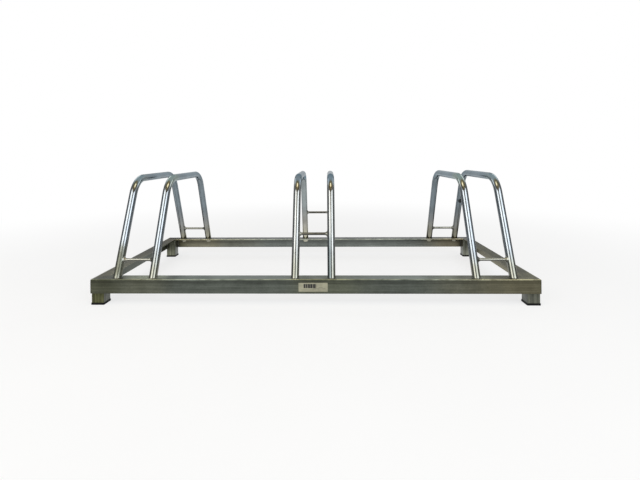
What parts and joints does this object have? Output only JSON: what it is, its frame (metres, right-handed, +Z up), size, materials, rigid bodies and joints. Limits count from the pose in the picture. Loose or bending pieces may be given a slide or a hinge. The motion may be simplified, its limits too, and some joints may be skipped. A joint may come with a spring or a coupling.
{
  "type": "bicycle floor rack",
  "caption": "Low floor rack that holds bicycles by one wheel: a frame of angle section on capped feet carries pairs of bent tube hoops joined by cross rods.",
  "frame": {"origin": "on the ground under the middle of the rack", "axes": "+X along the rack, from its left end to its right one as seen from the front, -Y to the front, +Z up"},
  "size_m": [1, 0.4605, 0.2853],
  "materials": {
    "zinc_rail": "dull zinc plating with faint marks along the bar",
    "zinc_tube": "bright zinc plating over smooth tube",
    "zinc_rod": "bright zinc plating, duller at the welds",
    "zinc_foot": "dull zinc plating with a yellow-green cast",
    "cap_plastic": "black moulded plastic",
    "label_paper": "cream paper label"
  },
  "bodies": {
    "root": {"front_rail": "zinc_rail", "right_rail": "zinc_rail", "back_rail": "zinc_rail", "left_rail": "zinc_rail", "front_left_foot": "zinc_foot", "front_right_foot": "zinc_foot", "back_left_foot": "zinc_foot", "back_right_foot": "zinc_foot", "front_left_cap": "cap_plastic", "front_right_cap": "cap_plastic", "back_left_cap": "cap_plastic", "back_right_cap": "cap_plastic", "left_bay_left_hoop": "zinc_tube", "left_bay_right_hoop": "zinc_tube", "middle_bay_left_hoop": "zinc_tube", "middle_bay_right_hoop": "zinc_tube", "right_bay_left_hoop": "zinc_tube", "right_bay_right_hoop": "zinc_tube", "left_bay_front_rod": "zinc_rod", "left_bay_back_rod": "zinc_rod", "middle_bay_front_rod": "zinc_rod", "middle_bay_back_rod": "zinc_rod", "right_bay_front_rod": "zinc_rod", "right_bay_back_rod": "zinc_rod", "label": "label_paper"}
  },
  "joints": []
}
